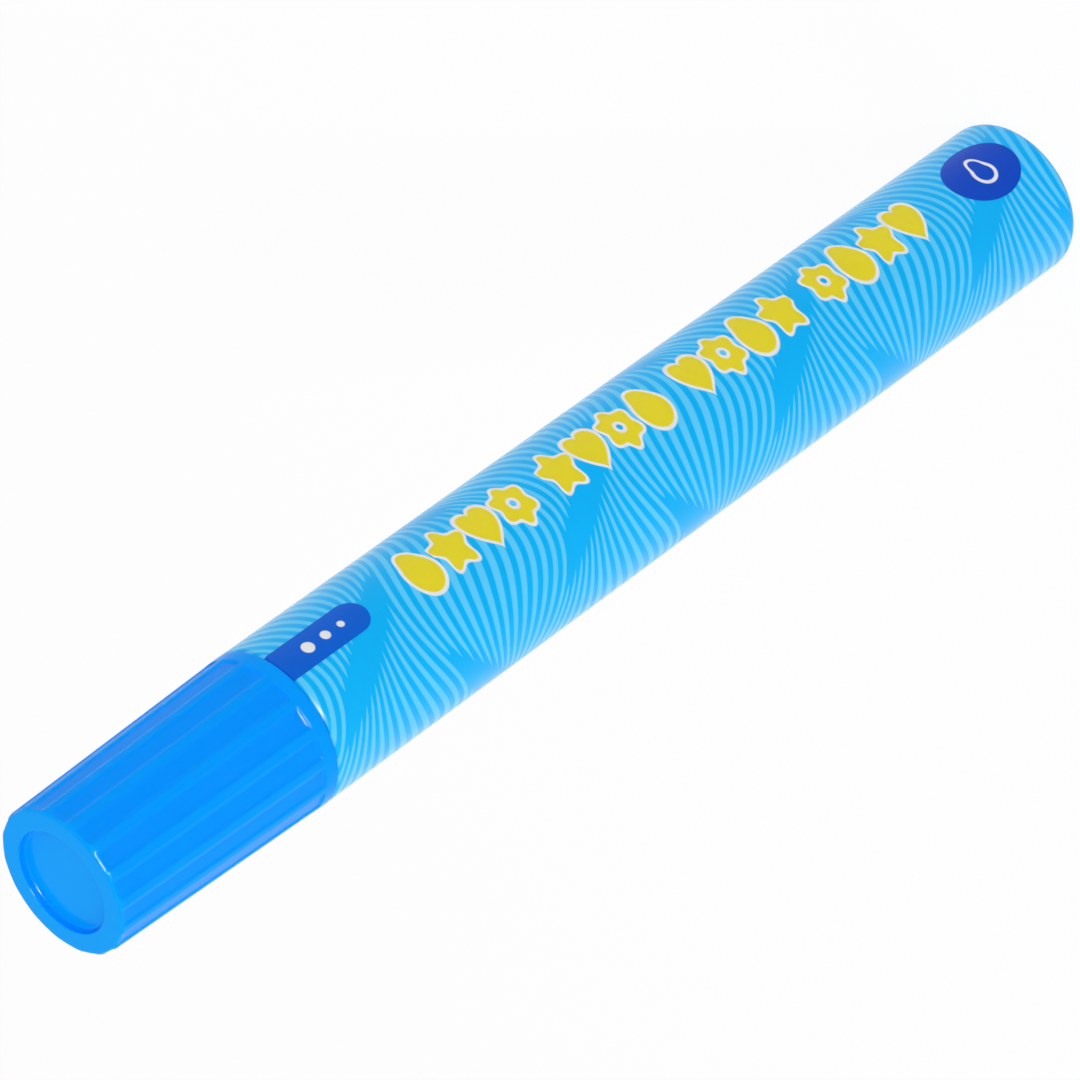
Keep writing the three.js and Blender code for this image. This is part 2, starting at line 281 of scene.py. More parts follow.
ring_outer = BARREL_RADIUS - BASE_EDGE
ring_inner = ring_outer - BASE_RING_WIDTH
bottle = turned("bottle", rounded([
    (0, RECESS_DEPTH, 0),
    (ring_inner - RECESS_DEPTH, RECESS_DEPTH, 0.5),
    (ring_inner, 0, 0.3),
    (ring_outer, 0, 0.06),
    (ring_outer, FILM_SPACE, 0),
    (BARREL_RADIUS, FILM_SPACE, BASE_EDGE),
    (BARREL_RADIUS, SHOULDER, SHOULDER_EDGE),
    (NECK_RADIUS, SHOULDER, 0.25),
    *snap_bead(NECK_RADIUS, NECK_BEAD, BEAD_DEPTH),
    (NECK_RADIUS, NECK_TOP, 0.4),
    (NECK_BORE, NECK_TOP, 0.15),
    (NECK_BORE, SHOULDER - SHOULDER_THICKNESS, 0.3),
    (BARREL_RADIUS - BARREL_WALL, SHOULDER - SHOULDER_THICKNESS - SHOULDER_SLOPE, 0.8),
    (BARREL_RADIUS - BARREL_WALL, BASE_THICKNESS, 1.5),
    (0, BASE_THICKNESS, 0),
]))
bottle_plastic = plastic("blue bottle plastic", linear(26, 159, 238), 0.34, bump=0.08,
                         IOR=1.45, Specular_IOR_Level=0.2)
dress(bottle, bottle_plastic, "tube", "tube_body")

# The filling is milky, water-based liquid glue. Its top is level, and creeps a little
# way up the wall where it wets the plastic.
GLUE_RADIUS, GLUE_FLOOR, GLUE_TOP = extent("glue_fill")
CREEP, CREEP_ROWS, STRAIGHT_BELOW = 0.9, 12, 4.1
glue_surface = []
for row in range(CREEP_ROWS, -1, -1):
    share = row / CREEP_ROWS
    glue_surface.append((GLUE_RADIUS * share, GLUE_TOP - CREEP * (1 - share ** 8)))
glue_side = rounded([(0, GLUE_FLOOR, 0), (GLUE_RADIUS, GLUE_FLOOR, 1.5),
                     (GLUE_RADIUS, GLUE_TOP - STRAIGHT_BELOW, 0)])
glue = turned("glue", glue_side + glue_surface)
glue_liquid = plastic("milky liquid glue", linear(242, 239, 228), 0.12, bump=0.02, IOR=1.38,
                      Subsurface_Weight=0.25, Subsurface_Scale=0.002)
dress(glue, glue_liquid, "tube", "glue_fill")

# A printed film, shrunk by heat onto the barrel, wraps it from end to end and turns over
# the edges of the base and of the shoulder. The print is on its inner side, so the
# surface is as glossy as the film itself. Its overlap runs down the back.
TUBE_RADIUS, _, _ = extent("printed_sleeve")
FILM_THICKNESS, FILM_TURN, FILM_GAP = 0.12, math.radians(65), 0.05
BASE_BEND = 1.2
BASE_CENTRE = (TUBE_RADIUS - BASE_BEND, BASE_BEND)
SHOULDER_BEND = SHOULDER_EDGE + FILM_GAP + FILM_THICKNESS
SHOULDER_CENTRE = (BARREL_RADIUS - SHOULDER_EDGE, SHOULDER - SHOULDER_EDGE)
FILM_ROWS = [1.5, 4, 10, 30, 50, 70, 90, 110, 130, 145, 150, 153, 153.5]


def film_edge(centre, radius, start, stop, steps=8):
    """Points round one of the sleeve's turned-over edges."""
    angles = [start + (stop - start) * k / steps for k in range(steps + 1)]
    return [(centre[0] + radius * math.cos(a), centre[1] + radius * math.sin(a)) for a in angles]


film_outside = (film_edge(BASE_CENTRE, BASE_BEND, -FILM_TURN, 0)
                + [(TUBE_RADIUS, z) for z in FILM_ROWS]
                + film_edge(SHOULDER_CENTRE, SHOULDER_BEND, 0, FILM_TURN))
film_inside = (film_edge(SHOULDER_CENTRE, SHOULDER_BEND - FILM_THICKNESS, FILM_TURN, 0)
               + [(TUBE_RADIUS - FILM_THICKNESS, z) for z in reversed(FILM_ROWS)]
               + film_edge(BASE_CENTRE, BASE_BEND - FILM_THICKNESS, 0, -FILM_TURN))
sleeve = turned("printed_sleeve_film", film_outside + film_inside, steps=192, closed=True)


def soft(value, low, high):
    """0 where a number is at low, 1 where it is at high, and a smooth step between them."""
    node = value.tree.nodes.new("ShaderNodeMapRange")
    node.interpolation_type = "SMOOTHSTEP"
    for label, part in (("Value", value), ("From Min", low), ("From Max", high)):
        feed(value.tree, part, node.inputs[label])
    return Number(value.tree, node.outputs["Result"])


def within(value, edge, softness):
    """1 where a number is below an edge and 0 above it, with a soft change between them."""
    return soft(value, edge + softness, edge - softness)


# The places of the colour sockets on a mix node
MIX_BELOW, MIX_ABOVE, MIX_RESULT = 6, 7, 2


def over(below, above, mask):
    """One colour laid over another where the mask is 1."""
    node = mask.tree.nodes.new("ShaderNodeMix")
    node.data_type = "RGBA"
    feed(mask.tree, mask, node.inputs["Factor"])
    feed(mask.tree, below, node.inputs[MIX_BELOW])
    feed(mask.tree, above, node.inputs[MIX_ABOVE])
    return node.outputs[MIX_RESULT]


def distance(up, sideways):
    """How far a place lies from the middle of a motif's own two axes."""
    return (up * up + sideways * sideways).then("SQRT")


def millimetres_round(angle, degrees):
    """How far round the tube a place lies from a line that is some degrees from the front."""
    return (angle - math.radians(degrees)) * TUBE_RADIUS


# The waves in millimetres along the tube and degrees round it, and the lines' width in half pitches:
# its least, what it gains where the lines spread, its soft edge and the width at which a line ends
WAVE_PERIOD, WAVE_START, WAVE_MIDDLE = 43.0, 22.7, 5.0
WAVE_AHEAD, WAVE_BEHIND, WAVES_ROUND, LINES_A_WAVE = 3.1, 1.9, 2.0, 28
LINE_PITCH = WAVE_PERIOD / LINES_A_WAVE
LINE_WIDTH, LINE_GAIN, LINE_SPREAD, LINE_EDGE, LINE_END = 0.33, 0.13, 0.45, 0.11, (0.02, 0.12)


def wave_lines(angle, along):
    """Light lines that run round the tube and swing to and fro, each a little later than the last."""
    swing = (angle - math.radians(WAVE_MIDDLE)) * WAVES_ROUND
    swing_cos, swing_sin = swing.then("COSINE"), swing.then("SINE")
    rest = along
    for guess in range(3):
        lag = (rest - WAVE_START) / WAVE_PERIOD * math.tau
        ahead = lag.then("COSINE") * swing_cos * WAVE_AHEAD
        behind = abs(lag.then("SINE")) * swing_sin * WAVE_BEHIND
        rest = along + (ahead - behind)
    from_start = rest - WAVE_START
    between = abs((from_start / LINE_PITCH + 0.5).then("FRACT") - 0.5) * 2.0
    spread = lag.then("SINE") * swing_cos * LINE_SPREAD + 1.0
    width = (spread * LINE_GAIN + LINE_WIDTH) * outside_swaths(angle, along, from_start)
    return within(between, width, LINE_EDGE) * soft(width, *LINE_END)


# A swath's bend by the square of the degrees from its middle, how many degrees round it is full,
# and how many millimetres the lines take to grow beside it
SWATH_BEND, SWATH_FULL, SWATH_TAPER = 0.12 / 50 ** 2, 12.0, 2.2


def outside_swaths(angle, along, from_start):
    """0 on the plain swaths that part the waves. Each keeps one bold line whole along its ends."""
    half_period = WAVE_PERIOD / 2
    from_near = from_start.then("WRAP", half_period, -half_period)
    from_far = (from_near + half_period).then("WRAP", half_period, -half_period)
    degrees = angle * (180 / math.pi)

    def among(value, low, high):
        return (value > low) * (value < high)

    def swath(middle_angle, middle_along, lean, half_width, reach, whole_below, whole_above):
        turn = (degrees - middle_angle).then("WRAP", 90.0, -90.0)
        bend = 1.0 - turn * turn * SWATH_BEND
        half = soft(abs(turn), reach, SWATH_FULL) * half_width
        off = (along - middle_along - turn * lean * bend).then("WRAP", half_period, -half_period)
        opening = soft((abs(off) - half) / ((off > 0.0) + SWATH_TAPER), 0.0, 1.0)
        lines = 1.0 - soft(half, 0.0, 0.5) * (1.0 - opening)
        below = turn < 0.0
        return lines.then("MAXIMUM", below * whole_below + (1.0 - below) * whole_above)

    beside, beyond = 0.45 * LINE_PITCH, 8.0
    rising = swath(middle_angle=4.0, middle_along=11.2, lean=0.255, half_width=2.6, reach=54.0,
                   whole_below=among(from_far, -beyond, beside),
                   whole_above=among(from_near, -beside, beyond))
    falling = swath(middle_angle=-74.0, middle_along=29.8, lean=-0.19, half_width=2.1, reach=58.0,
                    whole_below=among(from_far, -beside, beyond),
                    whole_above=among(from_near, -beyond, beside))
    return rising.then("MINIMUM", falling)


def drop_outline(up, sideways, radius, point):
    """How far a place lies outside a drop whose point is up."""
    turn = sideways.then("ARCTAN2", up)
    peak = turn.then("COSINE").then("MAXIMUM", 0.0).then("POWER", 7.0)
    return distance(up, sideways) - (peak * point + radius)


MOTIF_MIDDLE, MOTIF_START = 28.8, 23.6
MOTIF_PITCH, MOTIF_COUNT, GROUP_PITCH, GROUP_COUNT = 6.1, 4, 27.6, 4
ALONG_SCALE, ROUND_SCALE = 0.9, 0.68
EDGE_REACH, FILL_REACH, INK_SOFTNESS = 0.42, 0.02, 0.08


def motif_row(angle, along):
    """Four groups of a drop, a star, a heart and a flower, as masks of their pale edge and their fill."""
    from_start = along - MOTIF_START
    which_group = (from_start / GROUP_PITCH).then("FLOOR")
    in_group = from_start - which_group * GROUP_PITCH
    cell = (in_group / MOTIF_PITCH).then("FLOOR")
    sideways = (in_group - (cell + 0.5) * MOTIF_PITCH) * ALONG_SCALE
    up = millimetres_round(angle, MOTIF_MIDDLE) * ROUND_SCALE
    reach, turn = distance(up, sideways), sideways.then("ARCTAN2", up)

    rays = (turn * 5.0).then("COSINE")
    dip = abs(sideways).then("SQRT") * 0.95
    petals = reach - ((turn * 6.0).then("COSINE") * 0.32 + 2.3)
    forms = [
        drop_outline(up + 0.5, sideways, radius=2.2, point=1.1),
        reach - (rays * (rays * 0.1 + 0.5) + 2.15),
        distance(up + 0.55 - dip, sideways * 0.93) - 2.15,
        petals.then("MAXIMUM", 0.8 - reach),
    ]
    kind = (cell + which_group).then("FLOORED_MODULO", float(len(forms)))
    outline = sum(kind.then("COMPARE", float(number), 0.5) * form for number, form in enumerate(forms))
    group_length = MOTIF_COUNT * MOTIF_PITCH
    row_length = (GROUP_COUNT - 1) * GROUP_PITCH + group_length
    inside = (from_start > 0.0) * (from_start < row_length) * (in_group < group_length)
    edge, fill = within(outline, EDGE_REACH, INK_SOFTNESS), within(outline, FILL_REACH, INK_SOFTNESS)
    return edge * inside, fill * inside


# The tab's middle in degrees, its length without the round end, and its dots' places and radii
TAB_MIDDLE, TAB_LENGTH, TAB_HALF_WIDTH, TAB_SOFTNESS = 30.5, 13.5, 2.775, 0.075
TAB_DOTS = ((5.6, 0.95), (8.9, 0.75), (11.8, 0.55))


def tab_shapes(angle, along):
    """A tab with a round end that comes out from under the cap, and the dots on it."""
    across = millimetres_round(angle, TAB_MIDDLE)
    from_round_end = distance(across, (along - TAB_LENGTH).then("MAXIMUM", 0.0))
    tab = within(from_round_end, TAB_HALF_WIDTH, TAB_SOFTNESS)
    dots = [within(distance(across, along - place), size, INK_SOFTNESS) for place, size in TAB_DOTS]
    return tab, dots


BADGE_MIDDLE, BADGE_PLACE = 28.0, 144.0
BADGE_HALF_WIDTH, BADGE_HALF_LENGTH, BADGE_SWELL = 5.3, 6.6, 0.06
BADGE_SOFTNESS, DROP_LINE, DROP_SOFTNESS = 0.012, 0.29, 0.07


def badge_shapes(angle, along):
    """An egg-shaped badge near the base, and the outline of a drop in it."""
    sideways, up = along - BADGE_PLACE, millimetres_round(angle, BADGE_MIDDLE)
    badge = distance(up / (sideways * BADGE_SWELL + BADGE_HALF_WIDTH), sideways / BADGE_HALF_LENGTH)
    drop = drop_outline(up + 0.7, sideways, radius=1.75, point=1.5)
    return within(badge, 1.0, BADGE_SOFTNESS), within(abs(drop), DROP_LINE, DROP_SOFTNESS)


LAP_HALF_WIDTH, LAP_DEPTH, LAP_EDGE_DEPTH = 1.8, 0.16, 0.34


def film_overlap(angle):
    """The film's overlap down the back, where its print doubles: a deeper strip with a clear edge."""
    from_back = (math.pi - abs(angle)) * TUBE_RADIUS
    strip = within(from_back, LAP_HALF_WIDTH + 0.025, 0.075)
    strip_edge = within(abs(from_back - LAP_HALF_WIDTH), 0.1, 0.06)
    return strip * LAP_DEPTH + strip_edge * LAP_EDGE_DEPTH


def print_group():
    """The sleeve's print, layer over layer, by the angle from the front and millimetres from the cap."""
    colours = {"Ground": linear(2, 177, 246), "Line": linear(92, 202, 250), "Motif": linear(228, 212, 40),
               "Edge": linear(232, 232, 232), "Tab": linear(2, 94, 208), "Badge": linear(3, 72, 194),
               "Overlap": linear(2, 140, 220)}
    tree, given, made = group("sleeve print",
                              [(label, "NodeSocketColor", value) for label, value in colours.items()],
                              [("Colour", "NodeSocketColor")])
    split = tree.nodes.new("ShaderNodeSeparateXYZ")
    tree.links.new(tree.nodes.new("ShaderNodeTexCoord").outputs["Object"], split.inputs[0])
    x, y, z = (Number(tree, output) for output in split.outputs)
    angle = x.then("ARCTAN2", y * -1.0)
    along = (CAP_MOUTH * MM - z) * (1 / MM)

    motif_edge, motif_fill = motif_row(angle, along)
    tab, dots = tab_shapes(angle, along)
    badge, badge_drop = badge_shapes(angle, along)
    layers = [("Line", wave_lines(angle, along)), ("Edge", motif_edge), ("Motif", motif_fill), ("Tab", tab),
              *[("Edge", dot) for dot in dots], ("Badge", badge), ("Edge", badge_drop),
              ("Overlap", film_overlap(angle))]
    colour = given.outputs["Ground"]
    for label, mask in layers:
        colour = over(colour, given.outputs[label], mask)
    tree.links.new(colour, made.inputs["Colour"])
    return tree


def printed(tree):
    """The sleeve's print in a material's tree."""
    drawn = tree.nodes.new("ShaderNodeGroup")
    drawn.node_tree = print_group()
    return drawn.outputs["Colour"]


film = plastic("printed glossy film", printed, 0.2, bump=0.03, tone=0.03,
               IOR=1.36, Specular_Tint=(0.16, 0.11, 0.25, 1.0))
dress(sleeve, film, "tube", "printed_sleeve")

# A white polyethylene plug is pressed into the neck. Its flange rests on the neck, glue
# passes through seven small holes, and the socket above them grips the sponge.
_, SKIRT_END, SOCKET_TOP = extent("feed_plug")
FLANGE_THICKNESS = 1.4
FLANGE_BASE = NECK_TOP + SEAT_GAP
FLANGE_TOP = FLANGE_BASE + FLANGE_THICKNESS
PLUG_RADIUS, PLUG_WALL = 8.4, 1.1
SOCKET_RADIUS, SOCKET_WALL = 7.52, 0.8
HOLE_RADIUS, HOLE_CIRCLE, HOLE_COUNT = 0.9, 4.2, 6
plug = turned("feed_plug_part", rounded([
    (0, FLANGE_BASE, 0),
    (PLUG_RADIUS - PLUG_WALL, FLANGE_BASE, 0.3),
    (PLUG_RADIUS - PLUG_WALL, SKIRT_END, 0.1),
    (PLUG_RADIUS, SKIRT_END, 0.4),
    (PLUG_RADIUS, FLANGE_BASE, 0.1),
    (NECK_RADIUS, FLANGE_BASE, 0.25),
    (NECK_RADIUS, FLANGE_TOP, 0.4),
    (SOCKET_RADIUS, FLANGE_TOP, 0.12),
    (SOCKET_RADIUS, SOCKET_TOP, 0.2),
    (SOCKET_RADIUS - SOCKET_WALL, SOCKET_TOP, 0.15),
    (SOCKET_RADIUS - SOCKET_WALL, FLANGE_TOP, 0.2),
    (0, FLANGE_TOP, 0),
]))


def bore_holes(piece):
    """Bores the feed holes through the plug's flange: one in the middle and a ring round it."""
    ring_angles = [k * math.tau / HOLE_COUNT for k in range(HOLE_COUNT)]
    places = [(0.0, 0.0)] + [(HOLE_CIRCLE * math.cos(a), HOLE_CIRCLE * math.sin(a)) for a in ring_angles]
    drills = bmesh.new()
    for x, y in places:
        middle = Vector((x, y, FLANGE_BASE + FLANGE_THICKNESS / 2)) * MM
        bmesh.ops.create_cone(drills, cap_ends=True, segments=24, radius1=HOLE_RADIUS * MM,
                              radius2=HOLE_RADIUS * MM, depth=2 * FLANGE_THICKNESS * MM,
                              matrix=Matrix.Translation(middle))
    drill = finished("drills", drills)
    boring = piece.modifiers.new("holes", "BOOLEAN")
    boring.operation, boring.object, boring.solver = "DIFFERENCE", drill, "EXACT"
    bored = bpy.data.meshes.new_from_object(piece.evaluated_get(bpy.context.evaluated_depsgraph_get()))
    piece.modifiers.clear()
    piece.data = bored
    bored.set_sharp_from_angle(angle=math.radians(40))
    bpy.data.objects.remove(drill)


bore_holes(plug)
white_plastic = plastic("white plug plastic", linear(243, 243, 240), 0.38, bump=0.06,
                        IOR=1.45, Specular_IOR_Level=0.1)
dress(plug, white_plastic, "tube", "feed_plug")

# A piece of fine, open foam sits in the plug's socket: a stem below and a domed pad
# above, damp with glue in use. Its skin is slightly uneven, as cut foam is.
PAD_RADIUS, SPONGE_FOOT, _ = extent("sponge_tip")
STEM_RADIUS, PAD_SIDE, DOME_HEIGHT, DOME_STEPS = 6.62, 1.6, 6.8, 24
PAD_BASE = SOCKET_TOP + SEAT_GAP
DOME_BASE = PAD_BASE + PAD_SIDE
SKIN_DEPTH, SKIN_LUMPS, COARSE_LUMPS, FINE_LUMPS = 0.06, 0.05, 900, 2400


def dome(radius, height):
    """Points from the edge of the pad's dome to its top."""
    angles = [math.pi / 2 * k / DOME_STEPS for k in range(DOME_STEPS + 1)]
    return [(radius * math.cos(a), DOME_BASE + height * math.sin(a)) for a in angles]


sponge = turned("sponge_pad", rounded([
    (0, SPONGE_FOOT, 0), (STEM_RADIUS, SPONGE_FOOT, 0.5), (STEM_RADIUS, PAD_BASE, 0.2),
    (PAD_RADIUS, PAD_BASE, 0.5), (PAD_RADIUS, DOME_BASE, 0)]) + dome(PAD_RADIUS, DOME_HEIGHT)[1:], steps=144)
for vertex in sponge.data.vertices:
    lumps = noise.noise(vertex.co * COARSE_LUMPS) + 0.5 * noise.noise(vertex.co * FINE_LUMPS)
    vertex.co += vertex.normal * (SKIN_LUMPS * max(-1.0, min(1.0, lumps)) - SKIN_DEPTH) * MM


def ramp(tree, value, *stops):
    """A colour that a number picks from stops of place and colour."""
    node = tree.nodes.new("ShaderNodeValToRGB")
    elements = node.color_ramp.elements
    while len(elements) < len(stops):
        elements.new(0.5)
    for element, (place, colour) in zip(elements, stops):
        element.position, element.color = place, colour
    feed(tree, value, node.inputs["Fac"])
    return node.outputs["Color"]


foam, foam_tree, foam_shader = new_material("cream foam", Roughness=0.95, Specular_IOR_Level=0.0)
pores = foam_tree.nodes.new("ShaderNodeTexVoronoi")
pores.inputs["Scale"].default_value = 3200.0
foam_tree.links.new(foam_tree.nodes.new("ShaderNodeTexCoord").outputs["Object"], pores.inputs["Vector"])
pore_walls = Number(foam_tree, pores.outputs["Distance"])
mottle = unevenness(foam_tree, scale=400.0, detail=2.0)
# Darker towards the middle of each pore, where the surface lies lower: painted shade in the pores, with a
# random mottle of tone over it.
foam_tone_and_pore_shade = ramp(foam_tree, pore_walls * 0.8 + mottle * 0.4,
                 (0.15, linear(196, 182, 148)), (0.6, linear(246, 238, 214)))
foam_tree.links.new(foam_tone_and_pore_shade, foam_shader.inputs["Base Color"])
relief(foam_tree, pore_walls, distance=0.15 * MM, strength=0.9)
dress(sponge, foam, "tube", "sponge_tip")

# A fine knitted polyester net is cut round, drawn over the sponge and down the outside
# of the socket, so that the sponge wears well and lets the glue through evenly.
NET_LIFT, THREAD_PITCH, THREAD_EDGE = 0.225, 0.62, (0.72, 0.86)
NET_RADIUS = PAD_RADIUS + NET_LIFT
HEM_ROWS = (0.05, 0.8, 1.6, 2.4, 3.2, 4.0, 4.8, 5.5)
net_path = [(NET_RADIUS, SPONGE_FOOT + row) for row in HEM_ROWS] + dome(NET_RADIUS, DOME_HEIGHT + NET_LIFT)
net = turned("net", net_path)


def lay_flat(piece, path):
    """Maps the net as it was cut: each point as far from the middle as it lies along the cloth."""
    down = path[::-1]
    lengths = [0.0]
    for start, stop in zip(down, down[1:]):
        lengths.append(lengths[-1] + math.dist(start, stop))
    cloth = piece.data.uv_layers.new(name="cloth")
    for corner, loop in zip(cloth.data, piece.data.loops):
        co = piece.data.vertices[loop.vertex_index].co
        row = min(range(len(down)), key=lambda k: abs(down[k][1] - co.z / MM))
        turn = math.atan2(co.y, co.x)
        corner.uv = lengths[row] * math.cos(turn), lengths[row] * math.sin(turn)


lay_flat(net, net_path)
net_cloth, net_tree, net_shader = new_material("knitted net", Roughness=0.7, Specular_IOR_Level=0.0)
net_uv, net_split = net_tree.nodes.new("ShaderNodeUVMap"), net_tree.nodes.new("ShaderNodeSeparateXYZ")
net_uv.uv_map = "cloth"
net_tree.links.new(net_uv.outputs["UV"], net_split.inputs[0])
net_x, net_y, _ = (Number(net_tree, output) for output in net_split.outputs)


def threads(value):
    """1 on the middle of each thread, 0 halfway between two."""
    return abs((value * (math.pi / THREAD_PITCH)).then("COSINE"))


net_level = threads(net_x + net_y).then("MAXIMUM", threads(net_x - net_y))
# Lighter along the middle of each thread and darker towards its edges, where the surface falls away: painted
# shade on the round threads.
net_tone_and_thread_shade = ramp(net_tree, net_level, (0.7, linear(214, 212, 204)), (1.0, linear(250, 250, 246)))
net_tree.links.new(net_tone_and_thread_shade, net_shader.inputs["Base Color"])
feed(net_tree, soft(net_level, *THREAD_EDGE), net_shader.inputs["Alpha"])
relief(net_tree, net_level, distance=0.1 * MM, strength=0.8)
dress(net, net_cloth, "tube", "net_cover")

# A white ring, moulded in the same plastic as the plug, is pushed down over the net and
# holds its hem against the socket.
RING_RADIUS, RING_BASE, RING_TOP = extent("clamp_ring")
RING_WALL = 0.9
RING_BORE = RING_RADIUS - RING_WALL
ring = turned("clamp_ring_part", rounded([
    (RING_BORE, RING_BASE, 0.15),
    (RING_RADIUS, RING_BASE, 0.2),
    (RING_RADIUS, RING_TOP, 0.3),
    (RING_BORE, RING_TOP, 0.2),
], closed=True), closed=True)
dress(ring, white_plastic, "tube", "clamp_ring")

# Inside the cap a thin, soft cup of natural polyethylene closes on the plug's flange and
# keeps the sponge from drying. It is pressed in, and its lip is rolled inward.
_, CUP_MOUTH, CUP_END = extent("sealing_cup")
CAP_DRAFT, CAP_WALL, PRESS_GAP = 1.0, 1.5, 0.1
CUP_WALL, CUP_END_WALL, LIP_HEIGHT, LIP_DEPTH = 0.6, 1.0, 1.2, 0.25
CUP_CEILING, LIP_TOP = CUP_END - CUP_END_WALL, CUP_MOUTH + LIP_HEIGHT


def cap_radius(z):
    """The cap's outer radius before the panels, on its even taper."""
    return CAP_RADIUS - CAP_DRAFT * (z - CAP_MOUTH) / (CAP_END - CAP_MOUTH)


def cup_radius(z):
    """The cup's outer radius, which follows the cap's bore."""
    return cap_radius(z) - CAP_WALL - PRESS_GAP


lip_bore = cup_radius(CUP_MOUTH) - CUP_WALL - LIP_DEPTH
cup = turned("sealing_cup_part", rounded([
    (0, CUP_CEILING, 0),
    (cup_radius(CUP_CEILING) - CUP_WALL, CUP_CEILING, 0.9),
    (cup_radius(LIP_TOP) - CUP_WALL, LIP_TOP, 0.2),
    (lip_bore, LIP_TOP - LIP_DEPTH, 0.1),
    (lip_bore, CUP_MOUTH, 0.15),
    (cup_radius(CUP_MOUTH), CUP_MOUTH, 0.2),
    (cup_radius(CUP_END), CUP_END, 0.6),
    (0, CUP_END, 0),
]))
cup_plastic = plastic("soft cup plastic", linear(240, 240, 236), 0.42, bump=0.05,
                      IOR=1.45, Specular_IOR_Level=0.1)
dress(cup, cup_plastic, "cap", "sealing_cup")

# The cap is injection-moulded in blue polypropylene: a plain collar at the mouth, sixteen
# flat, shallow panels between slim ribs that run out over the rounded rim, and a dished end.
# It is turned first, and its outer wall is then drawn in where the panels lie.
BORE_RADIUS, BORE_STEP = CAP_RADIUS - CAP_WALL, FLANGE_TOP
CAP_BEAD = NECK_BEAD - 1.4
MOUTH_REACH = 0.15
END_WALL, RIM_RADIUS, END_RING = 1.3, 1.1, 8.9
DISH_RADIUS, DISH_DEPTH = 7.55, 1.2
DISH_FLOOR = CAP_END - DISH_DEPTH
DISH_WALL_RADIUS = DISH_RADIUS + END_WALL / 2
PANELS, PANEL_TURN, PANEL_DEPTH, HALF_RIB = 16, 6.0, 0.22, 0.6
PANEL_START = CAP_MOUTH + 2.0
SIDE_SLOPE, START_SLOPE, SLOPE_OUTSIDE, SLACK = 0.75, 0.3, 0.25, 0.01
# How much of the end's painted light the cap's side keeps, and how much painted shade the panels take off it
SIDE_PAINTED_SHADE, PANEL_SHADE = 0.7, 0.2
# Rings of points up the wall, above the mouth, and columns across half a panel, from its rib's
# middle: both lie close together where a panel's slope needs them
WALL_ROWS = [0.6, 1.3, 1.7, 1.84, 1.9, 1.95, 2.0, 2.05, 2.12, 2.25, 2.6, 3.8, 7.3, 12.3, 17.3, 22.3, 27.3,
             31.3, 34.3, 35.8, 36.7, 37.1, 37.3]
HALF_PITCH = [0, 0.25, 0.42, 0.50, 0.55, 0.60, 0.65, 0.71, 0.78, 0.87, 0.98, 1.11, 1.25, 1.40, 1.56, 1.73,
              1.90, 2.06, 2.219]
COLUMNS = 2 * (len(HALF_PITCH) - 1)


def cap_profile():
    """The cap's section: up its bore from the middle, round the mouth, up the wall and over the end."""
    wall = [(cap_radius(CAP_MOUTH + row), CAP_MOUTH + row, 0) for row in WALL_ROWS]
    ceiling, mouth = DISH_FLOOR - END_WALL, CAP_MOUTH - MOUTH_REACH
    rim_ceiling = CAP_END - END_WALL
    bore = [
        (0, ceiling, 0),
        (DISH_WALL_RADIUS, ceiling, 0.4),
        (DISH_WALL_RADIUS, rim_ceiling, 0.3),
        (cap_radius(rim_ceiling) - CAP_WALL, rim_ceiling, 0.5),
        (cap_radius(BORE_STEP) - CAP_WALL, BORE_STEP, 0.2),
        (BORE_RADIUS, BORE_STEP, 0.1),
        *reversed(snap_bead(BORE_RADIUS, CAP_BEAD, -BEAD_DEPTH)),
        (BORE_RADIUS, mouth, 0.3),
        (CAP_RADIUS, mouth, 0.25),
        wall[0],
    ]
    rim = [wall[-1], (cap_radius(CAP_END), CAP_END, RIM_RADIUS), (END_RING, CAP_END, 0)]
    dish = [(END_RING, CAP_END, 0), (DISH_RADIUS, CAP_END, 0.16), (DISH_RADIUS, DISH_FLOOR, 0.4),
            (0, DISH_FLOOR, 0)]
    return (rounded(bore) + wall[1:] + rounded(rim, arc_steps=12)[1:] + rounded(dish, arc_steps=7)[1:])


def column_place(step):
    """How far a column of points lies from its rib's middle, as a share of the pitch."""
    half = COLUMNS // 2
    beyond = HALF_PITCH[step] if step <= half else 2 * HALF_PITCH[half] - HALF_PITCH[COLUMNS - step]
    return beyond / (2 * HALF_PITCH[half])


def panel_share(across, z, half_width):
    """0 on the ribs and the collar, 1 on a panel's floor, and in between on the slope round it."""
    share = 1.0
    for inward, slope in ((half_width - abs(across), SIDE_SLOPE), (z - PANEL_START, START_SLOPE)):
        t = max(0.0, min(1.0, inward / slope + SLOPE_OUTSIDE))
        share *= t * t * (3 - 2 * t)
    return share


def painted_shading_at(radius, z, over_rim):
    """The painted shading at a place: 1 on the end, which faces the light, less on the side, and 0 on the
    dish's wall, where shade falls.
    """
    beyond_ring, inside_wall, over_floor, under_end = 0.1, 0.35, 0.02, 0.05
    if radius > END_RING + beyond_ring:
        return SIDE_PAINTED_SHADE + (1.0 - SIDE_PAINTED_SHADE) * over_rim
    on_dish_wall = radius > DISH_RADIUS - inside_wall and DISH_FLOOR + over_floor < z < CAP_END - under_end
    return 0.0 if on_dish_wall else 1.0
